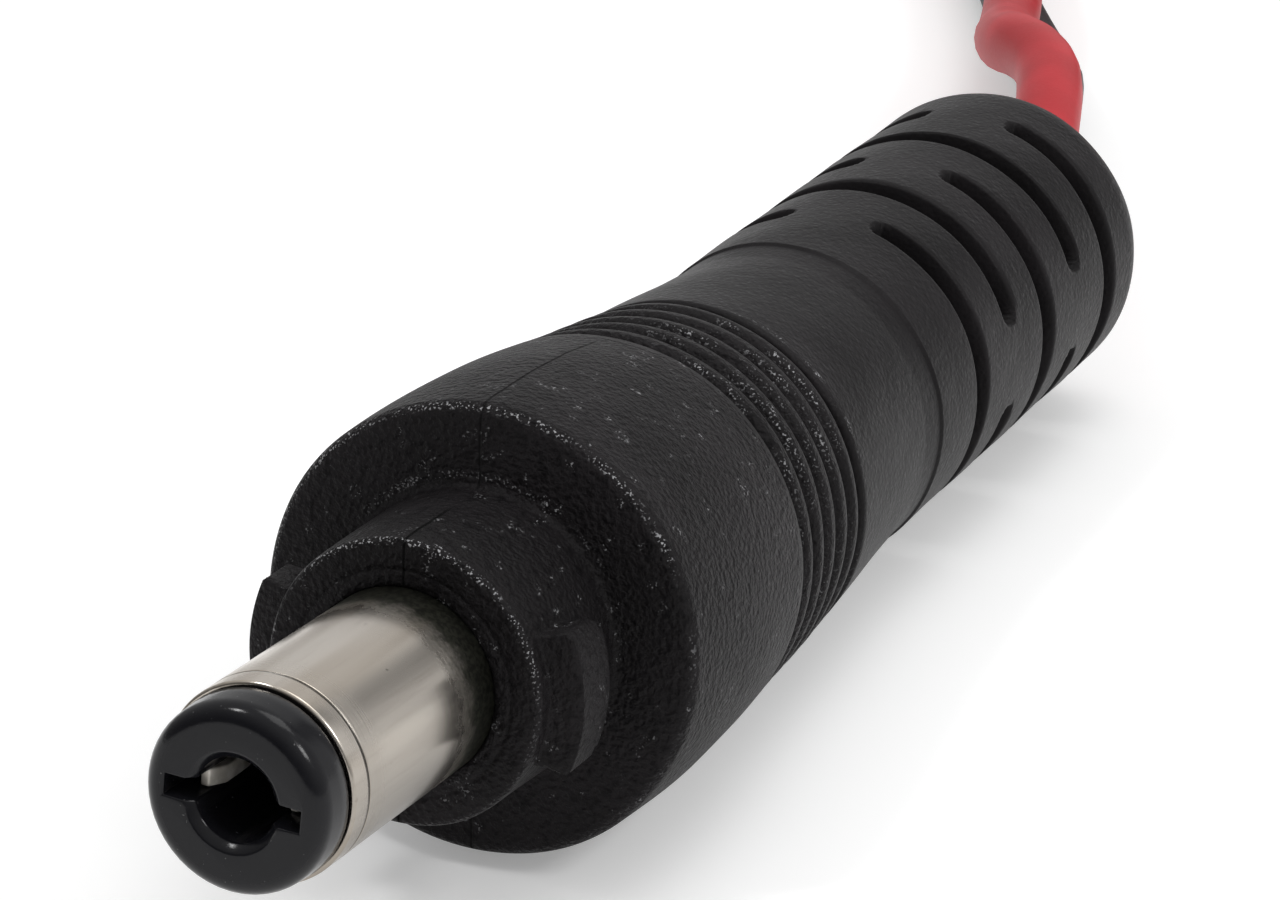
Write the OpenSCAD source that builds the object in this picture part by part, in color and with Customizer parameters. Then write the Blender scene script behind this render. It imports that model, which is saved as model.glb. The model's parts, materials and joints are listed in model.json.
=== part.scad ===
// Moulded low-voltage barrel plug with a short two-core lead, lying at rest on a flat surface.
// The plug's own axis runs along +Z of its local frame, from the tip face at 0 to the rear end;
// local -Y is the upper side. place_plug() lays that frame on the surface z = 0.

/* [Barrel] */
// Outer diameter of the metal sleeve
barrel_d = 5.5; // [5.3:0.05:5.7]
// Bore diameter of the metal sleeve
sleeve_bore_d = 4.6; // [4.4:0.05:4.8]
// Distance from the tip face to the front rim of the sleeve
sleeve_front = 1.45; // [1.2:0.05:1.8]
// Distance from the tip face to the collar's front face
barrel_reach = 9.5; // [9:0.1:11]
// How far the sleeve runs back inside the collar
sleeve_grip = 3.6; // [3:0.1:3.9]
// Diameter of the sleeve's rear flange
flange_d = 6.6; // [6.2:0.1:7]
// Thickness of the sleeve's rear flange
flange_t = 0.5; // [0.4:0.05:0.7]
// Step down of the sleeve's radius where the collar grips it
grip_step = 0.2; // [0.16:0.02:0.24]
// Distance from the sleeve's rim to its fine turned line
line_offset = 0.8; // [0.5:0.05:1.2]
// Depth of the fine turned line
line_depth = 0.05; // [0.03:0.01:0.08]

/* [Tip insulator] */
// Diameter of the insulator's head
head_d = 5.3; // [5.1:0.05:5.4]
// Radius of the head's rounded front edge
head_round = 0.55; // [0.3:0.05:0.8]
// Taper of the head's side towards its front
head_draft = 0.04; // [0.02:0.01:0.08]
// Width of the gap between the head and the sleeve's rim
head_gap = 0.12; // [0.08:0.02:0.2]
// Depth of that gap below the head's surface
head_gap_depth = 0.25; // [0.15:0.05:0.35]
// Diameter of the centre bore
bore_d = 2.3; // [2.2:0.05:2.4]
// Depth of the centre bore
bore_depth = 9.4; // [8:0.1:9.5]
// Width of the chamfer at the bore's mouth
bore_chamfer = 0.23; // [0.15:0.01:0.3]
// Width of the two contact slots
slot_w = 0.6; // [0.55:0.05:0.75]
// Distance across both contact slots
slot_across = 3.9; // [3.6:0.1:4.1]
// Turn of the slots about the axis
slot_turn = 4.5; // [0:0.5:10]

/* [Centre contact] */
// Thickness of the contact sheet
contact_t = 0.5; // [0.4:0.05:0.5]
// Distance of the prong tips behind the tip face
prong_recess = 1; // [0.8:0.1:1.4]
// Distance between the prongs' gripping faces
prong_gap = 1.86; // [1.8:0.02:2]
// Width of a prong
prong_w = 0.6; // [0.5:0.05:0.7]
// Length of a prong's gripping face
prong_grip_len = 0.9; // [0.5:0.1:1.5]
// Size of the lead-in at a prong's tip
prong_lead_in = 0.25; // [0.15:0.05:0.3]
// Length of the contact's solid bridge in front of its base
bridge_len = 2.9; // [2:0.1:3]
// Sideways clearance of the contact in its slots
contact_clear = 0.1; // [0.05:0.05:0.2]
// Width of the solder tail
tail_w = 1.6; // [1.2:0.1:2]
// Length of the solder tail behind the bush
tail_len = 4.5; // [3.5:0.1:5]
// Length of a solder joint
solder_len = 2.6; // [2:0.1:2.8]
// Diameter of a solder joint
solder_d = 2.5; // [2.2:0.1:2.6]
// Distance from the bush to a solder joint
solder_gap = 1; // [0.5:0.1:1.4]

/* [Terminal and bush] */
// Thickness of the sleeve terminal
terminal_t = 0.4; // [0.3:0.05:0.5]
// Width of the terminal's solder tail
terminal_w = 2.2; // [1.6:0.1:2.6]
// Diameter of the bush's boss in the terminal
boss_d = 4.7; // [4.4:0.1:5]
// Diameter of the bush's washer
bush_d = 5.4; // [5:0.1:5.6]
// Thickness of the bush's washer
bush_t = 1.2; // [0.8:0.1:1.6]

/* [Collar and lugs] */
// Collar diameter at its front face
collar_front_d = 8.2; // [8:0.1:9]
// Collar diameter at the body
collar_rear_d = 8.44; // [8:0.1:9.2]
// Length of the collar
collar_len = 4.6; // [4:0.1:6]
// Radius of the collar's front edge
collar_round = 0.18; // [0.1:0.02:0.3]
// Distance across both locking lugs
lug_across = 10.1; // [9.4:0.1:10.6]
// Width of a lug around the collar
lug_w = 3.9; // [3:0.1:4.4]
// Length of a lug along the axis
lug_len = 1.9; // [1.4:0.1:2.4]
// Distance from the collar's front face to a lug
lug_setback = 0.65; // [0.4:0.05:1]
// Radius of a lug's corners
lug_round = 0.55; // [0.2:0.05:0.8]

/* [Body] */
// Largest diameter of the body
body_d = 13.4; // [12.6:0.1:14.2]
// Distance from the body's front face to its largest diameter
crown_at = 2.9; // [2:0.1:4]
// Distance from the body's front face to the start of the cone
cone_from = 7.1; // [5:0.1:8]
// Distance from the body's front face to the end of the cone
cone_to = 21.4; // [20:0.1:24]
// Radius of the body's front edge
body_round = 0.35; // [0.2:0.05:0.5]

/* [Grip grooves] */
// Distance from the body's front face to the first groove
grip_from = 8.45; // [7.5:0.05:9]
// Number of grooves
grip_count = 6; // [4:1:7]
// Distance from one groove to the next
grip_pitch = 1.155; // [1:0.005:1.2]
// Width of a groove
grip_w = 0.6; // [0.4:0.05:0.7]
// Depth of a groove
grip_depth = 0.38; // [0.2:0.02:0.5]

/* [Strain relief] */
// Diameter of the neck behind the cone
neck_d = 10.66; // [10:0.02:11.2]
// Length of the neck
neck_len = 1.1; // [0.6:0.1:2]
// Diameter of the strain relief
relief_d = 10.8; // [10.2:0.1:11.4]
// Length of the strain relief
relief_len = 19.8; // [18.5:0.1:24]
// Radius of the rounded rear edge
relief_round = 2.2; // [1:0.1:2.6]
// Number of slot rings
ring_count = 5; // [3:1:5]
// Distance from the neck to the first slot ring
ring_from = 3.5; // [2.5:0.1:4]
// Distance from one slot ring to the next
ring_pitch = 2.98; // [2.6:0.02:3.1]
// Width of a slot
ring_w = 0.9; // [0.6:0.05:1.1]
// Depth of a slot
ring_depth = 1.8; // [1:0.1:2]
// Angle that a slot spans between the centres of its round ends
ring_span = 138; // [120:2:150]
// Bend of the strain relief
relief_bend = 4.4; // [0:0.1:8]
// Side that it bends to, from straight up towards the right
bend_heading = 20; // [0:5:45]

/* [Lead] */
// Diameter of one insulated core
core_d = 2.5; // [2.2:0.05:2.6]
// Distance between the two cores' centres
core_pitch = 2.4; // [2.1:0.05:2.5]
// Diameter of the copper strands in a core
strand_d = 1.5; // [1:0.05:1.6]
// Length of the two separated tails
tail_split = 24; // [20:1:30]
// Length of a tinned end
tinned_len = 6; // [4:0.5:8]
// Diameter of a tinned end
tinned_d = 1.4; // [1:0.1:1.6]

/* [Inner moulding] */
// Diameter of the inner moulding
inner_d = 7; // [6.8:0.1:7.2]
// Length of the inner moulding
inner_len = 12.5; // [12:0.1:13]
// How far the insulated cores run into the inner moulding
core_seat = 3; // [2:0.1:3.4]

/* [Hank] */
// Gap between neighbouring turns
turn_gap = 0.1; // [0.05:0.05:0.3]
// Length of the straight runs
run_len = 53.5; // [45:0.5:60]
// Radius of the outermost turn's centreline
turn_r = 15.2; // [14:0.1:17]
// Thickness of the tie
tie_t = 0.4; // [0.3:0.05:0.6]
// Width of the tie
tie_w = 4; // [3:0.5:5]
// Distance from the start of the hank to the tie's middle
tie_at = 8; // [6:0.5:10]
// Distance from the start of the hank to the end of its last run
last_run = 16; // [14:0.5:20]

/* [Hidden] */
$fn = 64;

// Stations along the plug's axis, from the tip face.
sleeve_end = barrel_reach + sleeve_grip;
bush_front = sleeve_end + terminal_t;
bush_end = bush_front + bush_t;
solder_from = bush_end + solder_gap;
contact_end = bush_end + tail_len;
strip_end = sleeve_end + inner_len - core_seat;
body_front = barrel_reach + collar_len;
crown = body_front + crown_at;
cone_start = body_front + cone_from;
grip_start = body_front + grip_from;
grip_end = grip_start + (grip_count - 1) * grip_pitch + grip_w;
cone_end = body_front + cone_to;
relief_start = cone_end + neck_len;
plug_len = relief_start + relief_len;
// The bend lies in the floor of the last groove.
pivot = grip_end - grip_w / 2;
// An extent that reaches past the whole plug, for cutting planes.
beyond = 2 * plug_len;

// The cone's generator line lies on the surface, so the plug rests nose up by the cone's half angle.
cone_slope = (body_d - neck_d) / 2 / ((cone_end - cone_start) + (cone_start - crown) / 2);
rest_tilt = atan(cone_slope);
crown_radius = (cone_start - crown) / cone_slope;
cone_start_r = body_d / 2 - (cone_start - crown) * cone_slope / 2;
nose_height = cone_start_r / cos(rest_tilt) + cone_start * sin(rest_tilt);
nose_y = -plug_len * cos(rest_tilt) / 2;
bend_axis = [cos(bend_heading), sin(bend_heading), 0];
bend_step = 0.03;
rib_crown = 0.12 * grip_depth;
sleeve_edge = 0.12;

// Twin lead: the flat section stands on edge, the red core above the black one.
core_y = core_pitch / 2;
lead_h = core_pitch + core_d;
lead_sides = 12;
tail_sides = 8;
// Hank: the near arcs' centre lies half a turn pitch to the right, so each turn steps inwards.
turn_pitch = core_d + turn_gap;
hank_x = -8;
hank_y = 96;
hank_end = hank_y + last_run;
hank_z = tie_t + lead_h / 2;
arc_steps = 24;
route = [[0.5, 32, 5.7], [-0.4, 35.5, 6], [-1.5, 39, 6.2], [-2.9, 42.4, 6.2], [-4.4, 45.6, 5.9], [-5.8, 49, 5.1],
    [-7, 52.6, 4.1], [-8.3, 56.4, 3.1], [-9.8, 60.4, 2.6], [-12, 65.5, 2.6], [-16.4, 75, 2.6], [-20.4, 84, 2.7],
    [-22.6, 90.5, 2.8]];
// Tails: the red one steps aside and comes down, the black one runs straight on.
tail_x = hank_x - turn_r + 2 * turn_pitch;
tail_r = core_d / 2;
tail_step = tail_split / 4;
red_route = [[tail_x, hank_end, hank_z + core_y], [tail_x + 1, hank_end + tail_step, hank_z + core_y - 0.3],
    [tail_x + 2.6, hank_end + 2 * tail_step, 2.4], [tail_x + 3.6, hank_end + 3 * tail_step, tail_r + 0.2],
    [tail_x + 4, hank_end + 4 * tail_step, tail_r]];
black_route = [[tail_x, hank_end, hank_z - core_y], [tail_x, hank_end + 2 * tail_step, tail_r + 0.1],
    [tail_x, hank_end + 4 * tail_step, tail_r]];

function body_r(s) = s < cone_start
    ? body_d / 2 - pow(s - crown, 2) / (2 * crown_radius)
    : cone_start_r - (s - cone_start) * cone_slope;
function arc(cx, cy, r, from, to, steps) =
    [for (i = [0 : steps]) let (a = from + (to - from) * i / steps) [cx + r * cos(a), cy + r * sin(a)]];
function unit(v) = v / norm(v);
function turn_x(v, a) = [v[0], v[1] * cos(a) - v[2] * sin(a), v[1] * sin(a) + v[2] * cos(a)];
function to_rest(v) = turn_x(v, -90 - rest_tilt);
relief_dir = [sin(relief_bend) * sin(bend_heading), -sin(relief_bend) * cos(bend_heading), cos(relief_bend)];
exit_dir = to_rest(relief_dir);
exit_at = [0, nose_y, nose_height] + to_rest([0, 0, pivot] + (plug_len - pivot) * relief_dir);

module place_plug() {
    translate([0, nose_y, nose_height]) rotate([-90 - rest_tilt, 0, 0]) children();
}

// Half of space before (side -1) or behind (side 1) the mitre plane of the bend.
module bend_half(side) {
    translate([0, 0, pivot]) rotate(a = -side * relief_bend / 2, v = bend_axis)
        translate([-beyond / 2, -beyond / 2, side < 0 ? -beyond : 0]) cube(beyond);
}

module front_half() {
    intersection() {
        children();
        bend_half(-1);
    }
}

// The half behind the pivot, turned by the bend.
module rear_half() {
    translate([0, 0, pivot]) rotate(a = relief_bend, v = bend_axis) translate([0, 0, -pivot])
        intersection() {
            children();
            bend_half(1);
        }
}

// Bends a straight shape at the pivot, with a mitre.
module bent() {
    front_half() children();
    rear_half() children();
}

// Depth of the grip at a share of the pitch: a round groove, then a rib with a round top.
function grip_cut(share) = let (groove = grip_w / grip_pitch)
    share < groove
        ? grip_depth * pow(sin(180 * share / groove), 0.6)
        : rib_crown * (1 - sin(180 * (share - groove) / (1 - groove)));

// A groove wall's points over shares of the pitch, from one share to another.
function grip_points(groove, shares) = [for (share = shares)
    let (s = grip_start + (groove + share) * grip_pitch) [body_r(s) - grip_cut(share), s]];

module front_outline() {
    collar_r = collar_front_d / 2;
    front_s = body_front + body_round;
    front_r = body_r(front_s);
    floor_r = body_r(pivot) - grip_depth;
    half_groove = grip_w / grip_pitch / 2;
    polygon(concat(
        [[0, barrel_reach]],
        arc(collar_r - collar_round, barrel_reach + collar_round, collar_round, -90, 0, 6),
        [[collar_rear_d / 2, body_front]],
        arc(front_r - body_round, front_s, body_round, -90, 0, 6),
        [for (i = [1 : 8]) let (s = front_s + (grip_start - front_s) * i / 8) [body_r(s), s]],
        [for (g = [0 : grip_count - 2]) each grip_points(g, [for (i = [1 : 12]) i / 12])],
        grip_points(grip_count - 1, [for (i = [1 : 3]) half_groove * i / 4]),
        [[floor_r, pivot], [floor_r, pivot + neck_len], [0, pivot + neck_len]]));
}

module rear_outline() {
    relief_r = relief_d / 2;
    floor_r = body_r(pivot) - grip_depth - bend_step;
    half_groove = grip_w / grip_pitch / 2;
    polygon(concat(
        [[0, pivot - neck_len], [floor_r, pivot - neck_len], [floor_r, pivot]],
        grip_points(grip_count - 1, [for (i = [5 : 7]) half_groove * i / 4]),
        [[body_r(grip_end), grip_end], [neck_d / 2, cone_end], [neck_d / 2, relief_start],
            [relief_r, relief_start]],
        arc(relief_r - relief_round, plug_len - relief_round, relief_round, 0, 90, 10),
        [[0, plug_len]]));
}

// One slot of the strain relief, centred on local +X, with round ends.
module relief_slot() {
    floor_r = relief_d / 2 - ring_depth;
    rotate([0, 0, -ring_span / 2]) rotate_extrude(angle = ring_span)
        translate([floor_r, -ring_w / 2]) square([relief_d, ring_w]);
    for (side = [-1, 1])
        rotate([0, 0, side * ring_span / 2]) rotate([0, 90, 0])
            translate([0, 0, floor_r]) cylinder(d = ring_w, h = relief_d, $fn = 32);
}

module relief_slots() {
    for (i = [0 : ring_count - 1], side = [0, 180])
        translate([0, 0, relief_start + ring_from + i * ring_pitch])
            rotate([0, 0, side + 90 * (i % 2)]) relief_slot();
}

// Outline of a lug seen from outside: straight at the front, round corners at the rear.
module lug_outline() {
    translate([-lug_w / 2 + lug_round, 0]) square([lug_w - 2 * lug_round, lug_len]);
    translate([-lug_w / 2, 0]) square([lug_w, lug_len - lug_round]);
    for (side = [-1, 1])
        translate([side * (lug_w / 2 - lug_round), lug_len - lug_round]) circle(r = lug_round, $fn = 32);
}

module lugs() {
    translate([0, 0, barrel_reach + lug_setback]) intersection() {
        cylinder(d = lug_across, h = lug_len);
        translate([-lug_across, 0, 0]) rotate([90, 0, 90]) linear_extrude(2 * lug_across) lug_outline();
    }
}

// One core inside the moulding: side -1 is the upper, red one, and 1 the lower, black one.
module core_length(side, d, from, to) {
    intersection() {
        translate([0, side * core_y, from]) cylinder(d = d, h = to - from);
        translate([-beyond / 2, side < 0 ? -beyond : 0, from - 1]) cube([beyond, beyond, to - from + 2]);
    }
}

module strand_length(side) {
    translate([0, side * core_y, solder_from]) cylinder(d = strand_d, h = plug_len - solder_from, $fn = 32);
}

module overmould() {
    color([0.1, 0.1, 0.11]) place_plug() difference() {
        union() {
            front_half() rotate_extrude() front_outline();
            rear_half() rotate_extrude() rear_outline();
            lugs();
        }
        bent() relief_slots();
        sleeve_body();
        terminal_solid();
        translate([0, 0, sleeve_end]) cylinder(d = inner_d, h = inner_len);
        bent() twin_bore();
    }
}

module twin_bore() {
    core_length(-1, core_d, strip_end, plug_len + 1);
    core_length(1, core_d, strip_end, plug_len + 1);
}

// Outer form of the sleeve, without its bore.
module sleeve_body() {
    r = barrel_d / 2;
    line_s = sleeve_front + line_offset;
    flange_front = sleeve_end - flange_t;
    rotate_extrude() polygon([[0, sleeve_front], [r - sleeve_edge, sleeve_front],
        [r, sleeve_front + sleeve_edge], [r, line_s - line_depth], [r - line_depth, line_s],
        [r, line_s + line_depth], [r, barrel_reach], [r - grip_step, barrel_reach],
        [r - grip_step, flange_front], [flange_d / 2, flange_front], [flange_d / 2, sleeve_end], [0, sleeve_end]]);
}

module barrel_sleeve() {
    color([0.78, 0.75, 0.7]) place_plug() difference() {
        sleeve_body();
        translate([0, 0, sleeve_front - 1]) cylinder(d = sleeve_bore_d, h = sleeve_end);
    }
}

module tip_insulator() {
    r = head_d / 2;
    back = sleeve_front - head_gap;
    color([0.07, 0.07, 0.08]) place_plug() difference() {
        rotate_extrude() polygon(concat([[0, 0]],
            arc(r - head_draft - head_round, head_round, head_round, -90, 0, 8),
            [[r, back], [r - head_gap_depth, back], [r - head_gap_depth, sleeve_front],
                [sleeve_bore_d / 2, sleeve_front], [sleeve_bore_d / 2, sleeve_end], [0, sleeve_end]]));
        translate([0, 0, -1]) cylinder(d = bore_d, h = bore_depth + 1);
        translate([0, 0, -1])
            cylinder(r1 = bore_d / 2 + bore_chamfer + 1, r2 = bore_d / 2, h = bore_chamfer + 1);
        rotate([0, 0, slot_turn]) translate([-slot_across / 2, -slot_w / 2, -1])
            cube([slot_across, slot_w, sleeve_end + 2]);
    }
}

// Flat fork outline in the plane of the slots: x across, y along the axis.
module fork_outline() {
    outer = slot_across / 2 - contact_clear;
    grip = prong_gap / 2;
    grip_back = prong_recess + 2 * prong_lead_in + prong_grip_len;
    spread = sleeve_end - bridge_len - prong_grip_len * 3;
    half = [[0, sleeve_end - bridge_len], [outer - prong_w, sleeve_end - bridge_len], [outer - prong_w, spread],
        [grip, grip_back], [grip, prong_recess + 2 * prong_lead_in], [grip + prong_lead_in, prong_recess],
        [grip + prong_w - prong_lead_in / 2, prong_recess], [grip + prong_w, prong_recess + prong_lead_in],
        [grip + prong_w, grip_back], [outer, spread], [outer, sleeve_end], [tail_w / 2, sleeve_end],
        [tail_w / 2, contact_end]];
    polygon(concat(half, [for (i = [len(half) - 1 : -1 : 1]) [-half[i][0], half[i][1]]]));
}

module contact_fork() {
    color([0.86, 0.85, 0.82]) place_plug() fork_solid();
}

module fork_solid() {
    rotate([0, 0, slot_turn]) translate([0, contact_t / 2, 0]) rotate([90, 0, 0])
        linear_extrude(contact_t) fork_outline();
}

module bush_solid() {
    translate([0, 0, sleeve_end]) cylinder(d = boss_d, h = terminal_t);
    translate([0, 0, bush_front]) cylinder(d = bush_d, h = bush_t);
}

module rear_bush() {
    color([0.85, 0.83, 0.76]) place_plug() difference() {
        bush_solid();
        fork_solid();
    }
}

module terminal_solid() {
    r = flange_d / 2;
    difference() {
        translate([0, 0, sleeve_end]) cylinder(r = r, h = terminal_t);
        translate([0, 0, sleeve_end - 1]) cylinder(d = boss_d, h = terminal_t + 2);
    }
    translate([-terminal_w / 2, bush_d / 2, sleeve_end])
        cube([terminal_w, terminal_t, contact_end - sleeve_end]);
}

module sleeve_terminal() {
    color([0.8, 0.66, 0.36]) place_plug() terminal_solid();
}

// A solder joint about the strands at height y, tapered at both ends.
module solder_blob(y) {
    taper = 0.3 * solder_len;
    neck = strand_d + 0.3;
    translate([0, y, solder_from]) {
        cylinder(d1 = neck, d2 = solder_d, h = taper, $fn = 32);
        translate([0, 0, taper]) cylinder(d = solder_d, h = solder_len - 2 * taper, $fn = 32);
        translate([0, 0, solder_len - taper]) cylinder(d1 = solder_d, d2 = neck, h = taper, $fn = 32);
    }
}

// Joint on the upper face of the contact's tail.
module centre_joint() {
    intersection() {
        solder_blob(-core_y);
        rotate([0, 0, slot_turn]) translate([-beyond / 2, -beyond - contact_t / 2, 0]) cube(beyond);
    }
}

// Joint between the lower strands and the terminal's tail.
module sleeve_joint() {
    intersection() {
        solder_blob((core_y + bush_d / 2) / 2);
        translate([-beyond / 2, bush_d / 2 - beyond, 0]) cube(beyond);
    }
}

module solder_centre() {
    color([0.72, 0.73, 0.75]) place_plug() difference() {
        centre_joint();
        strand_length(-1);
    }
}

module solder_sleeve() {
    color([0.72, 0.73, 0.75]) place_plug() difference() {
        sleeve_joint();
        strand_length(1);
    }
}

module red_strands() {
    color([0.72, 0.45, 0.3]) place_plug() difference() {
        bent() strand_length(-1);
        fork_solid();
    }
}

module black_strands() {
    color([0.72, 0.45, 0.3]) place_plug() difference() {
        bent() strand_length(1);
        terminal_solid();
        fork_solid();
    }
}

module core(side) {
    place_plug() bent() difference() {
        core_length(side, core_d, strip_end, plug_len);
        translate([0, side * core_y, strip_end - 1])
            cylinder(d = strand_d, h = plug_len - strip_end + 2, $fn = 32);
    }
}

module red_core() {
    color([0.73, 0.12, 0.14]) core(-1);
}

module black_core() {
    color([0.06, 0.06, 0.07]) core(1);
}

module inner_mould() {
    color([0.88, 0.87, 0.83]) place_plug() difference() {
        translate([0, 0, sleeve_end]) cylinder(d = inner_d, h = inner_len);
        bush_solid();
        terminal_solid();
        fork_solid();
        centre_joint();
        sleeve_joint();
        strand_length(-1);
        strand_length(1);
        twin_bore();
    }
}

// Rings of a tube with a flat section on edge: half height h, half width w, n sides.
function tube_ring(at, dir, h, w, n) = let (side = unit(cross(dir, [0, 0, 1])), up = cross(side, dir))
    [for (i = [0 : n - 1]) let (a = 360 * (i + 0.5) / n)
        at + side * w * cos(a) + up * ((h - w) * sign(sin(a)) + w * sin(a))];

// Direction of a route at one of its points.
function direction(points, i, first) =
    i == 0 ? first : unit(points[min(i + 1, len(points) - 1)] - points[i - 1]);

module tube(points, first, last, h, w, n) {
    count = len(points);
    rings = [for (i = [0 : count - 1])
        each tube_ring(points[i], i == count - 1 ? last : direction(points, i, first), h, w, n)];
    polyhedron(rings, concat(
        [[for (k = [0 : n - 1]) k]],
        [for (i = [0 : count - 2], k = [0 : n - 1]) let (a = i * n + k, b = i * n + (k + 1) % n)
            each [[a, a + n, b], [b, a + n, b + n]]],
        [[for (k = [n - 1 : -1 : 0]) (count - 1) * n + k]]), convexity = 6);
}

module cord_run() {
    start = [hank_x - turn_r, hank_y, hank_z];
    color([0.6, 0.12, 0.13]) tube(concat([exit_at], route, [start]), exit_dir, [0, 1, 0],
        lead_h / 2, core_d / 2, lead_sides);
}

function hank_outline(grow) = let (r = turn_r + grow, x = hank_x + turn_pitch / 2) concat(
    [[hank_x - r, hank_y]],
    arc(hank_x, hank_y + run_len, r, 180, 0, arc_steps),
    arc(x, hank_y, r - turn_pitch / 2, 0, -180, arc_steps));

module cord_hank() {
    half = core_d / 2;
    second = turn_r - turn_pitch - half;
    third = second - turn_pitch;
    color([0.6, 0.12, 0.13]) translate([0, 0, hank_z - lead_h / 2]) linear_extrude(lead_h) difference() {
        polygon(hank_outline(half));
        polygon(concat(
            arc(hank_x, hank_y + run_len, second, 180, 0, arc_steps),
            arc(hank_x + turn_pitch / 2, hank_y, second - turn_pitch / 2, 0, -180, arc_steps),
            [[hank_x - third, hank_end], [hank_x - second, hank_end]]));
    }
}

// A band round the three left runs.
module hank_tie() {
    w = 2 * turn_pitch + core_d;
    x = hank_x - turn_r - core_d / 2;
    color([0.9, 0.9, 0.88]) translate([x, hank_y + tie_at - tie_w / 2, 0]) difference() {
        translate([-tie_t, 0, 0]) cube([w + 2 * tie_t, tie_w, lead_h + 2 * tie_t]);
        translate([0, -1, tie_t]) cube([w, tie_w + 2, lead_h]);
    }
}

module tail(points) {
    tube(points, [0, 1, 0], [0, 1, 0], tail_r, tail_r, tail_sides);
}

// Tinned strands with a small taper at the cut.
module tinned_end(points) {
    taper = tinned_d / 4;
    translate(points[len(points) - 1]) rotate([-90, 0, 0]) {
        cylinder(d = tinned_d, h = tinned_len - taper, $fn = 32);
        translate([0, 0, tinned_len - taper]) cylinder(d1 = tinned_d, d2 = tinned_d / 2, h = taper, $fn = 32);
    }
}

module red_tail() {
    color([0.73, 0.12, 0.14]) tail(red_route);
}

module black_tail() {
    color([0.06, 0.06, 0.07]) tail(black_route);
}

module red_tinned_end() {
    color([0.75, 0.75, 0.76]) tinned_end(red_route);
}

module black_tinned_end() {
    color([0.75, 0.75, 0.76]) tinned_end(black_route);
}

overmould();
barrel_sleeve();
tip_insulator();
contact_fork();
rear_bush();
sleeve_terminal();
inner_mould();
solder_centre();
solder_sleeve();
red_strands();
black_strands();
red_core();
black_core();
cord_run();
cord_hank();
hank_tie();
red_tail();
black_tail();
red_tinned_end();
black_tinned_end();
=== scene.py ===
"""Studio scene of a moulded barrel plug with a short red and black twin lead."""
import json
import math

import bmesh
import bpy
import numpy as np
from mathutils import Matrix, Vector


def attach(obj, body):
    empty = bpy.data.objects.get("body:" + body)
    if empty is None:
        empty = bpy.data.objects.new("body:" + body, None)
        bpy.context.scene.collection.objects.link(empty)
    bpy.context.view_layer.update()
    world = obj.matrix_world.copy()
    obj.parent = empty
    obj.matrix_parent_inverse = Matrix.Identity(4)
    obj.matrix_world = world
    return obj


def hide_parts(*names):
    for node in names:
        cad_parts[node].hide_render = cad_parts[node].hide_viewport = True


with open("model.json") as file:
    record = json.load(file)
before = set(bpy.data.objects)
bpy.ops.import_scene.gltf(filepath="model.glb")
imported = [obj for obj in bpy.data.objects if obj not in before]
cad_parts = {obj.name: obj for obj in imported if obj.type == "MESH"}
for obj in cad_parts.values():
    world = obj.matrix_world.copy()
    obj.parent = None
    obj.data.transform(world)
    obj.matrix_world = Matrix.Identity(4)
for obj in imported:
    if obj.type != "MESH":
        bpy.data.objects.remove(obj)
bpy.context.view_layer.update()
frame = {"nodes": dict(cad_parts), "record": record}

MM = 0.001

# ---------------------------------------------------------------- camera

FOCAL_MM = 126.56
SENSOR_MM = 36.0
CAMERA_PLACE = (50.17, -116.29, 59.19)
HEADING = math.radians(-23.84)
LOOKING_DOWN = math.radians(22.26)

camera_data = bpy.data.cameras.new("camera")
camera_data.lens = FOCAL_MM
camera_data.sensor_width = SENSOR_MM
camera_data.clip_start = 0.01
camera_data.clip_end = 5.0
camera = bpy.data.objects.new("camera", camera_data)
camera.location = Vector(CAMERA_PLACE) * MM
sight = Vector((math.sin(HEADING) * math.cos(LOOKING_DOWN), math.cos(HEADING) * math.cos(LOOKING_DOWN),
                -math.sin(LOOKING_DOWN)))
camera.rotation_euler = sight.to_track_quat("-Z", "Y").to_euler()
bpy.context.scene.collection.objects.link(camera)
bpy.context.scene.camera = camera

# ---------------------------------------------------------------- plug frame

# The barrel's mount lies this far behind the tip face, in millimetres.
MOUNT_TO_TIP = 5.535

mounts = {mount["name"]: mount for mount in frame["record"]["mounts"]}
nose_dir = np.array(mounts["barrel"]["axis"])
nose_dir /= np.linalg.norm(nose_dir)
TIP = np.array(mounts["barrel"]["pos_m"]) + nose_dir * MOUNT_TO_TIP * MM
REST_TILT = math.atan2(nose_dir[2], -nose_dir[1])

# Stations along the axis from the tip face, in millimetres.
SLEEVE_FRONT = 1.45
TURNED_LINE = 2.25
COLLAR_FACE = 9.5
LUG_FROM = 10.15
SLEEVE_REAR = 11.5
LUG_TO = 12.05
BODY_FRONT = 14.1
CROWN = 17.0
CONE_START = 21.2
GRIP_START = 22.55
GRIP_PITCH = 1.155
GRIP_COUNT = 6
GRIP_W = 0.6
GRIP_DEPTH = 0.38
GRIP_END = GRIP_START + (GRIP_COUNT - 1) * GRIP_PITCH + GRIP_W
CONE_END = 35.5
RELIEF_START = 36.6
RING_START = 40.1
RING_PITCH = 2.98
RING_COUNT = 5
RING_W = 0.9
RING_DEPTH = 1.8
RING_SPAN = math.radians(138)
PLUG_END = 56.4
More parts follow.
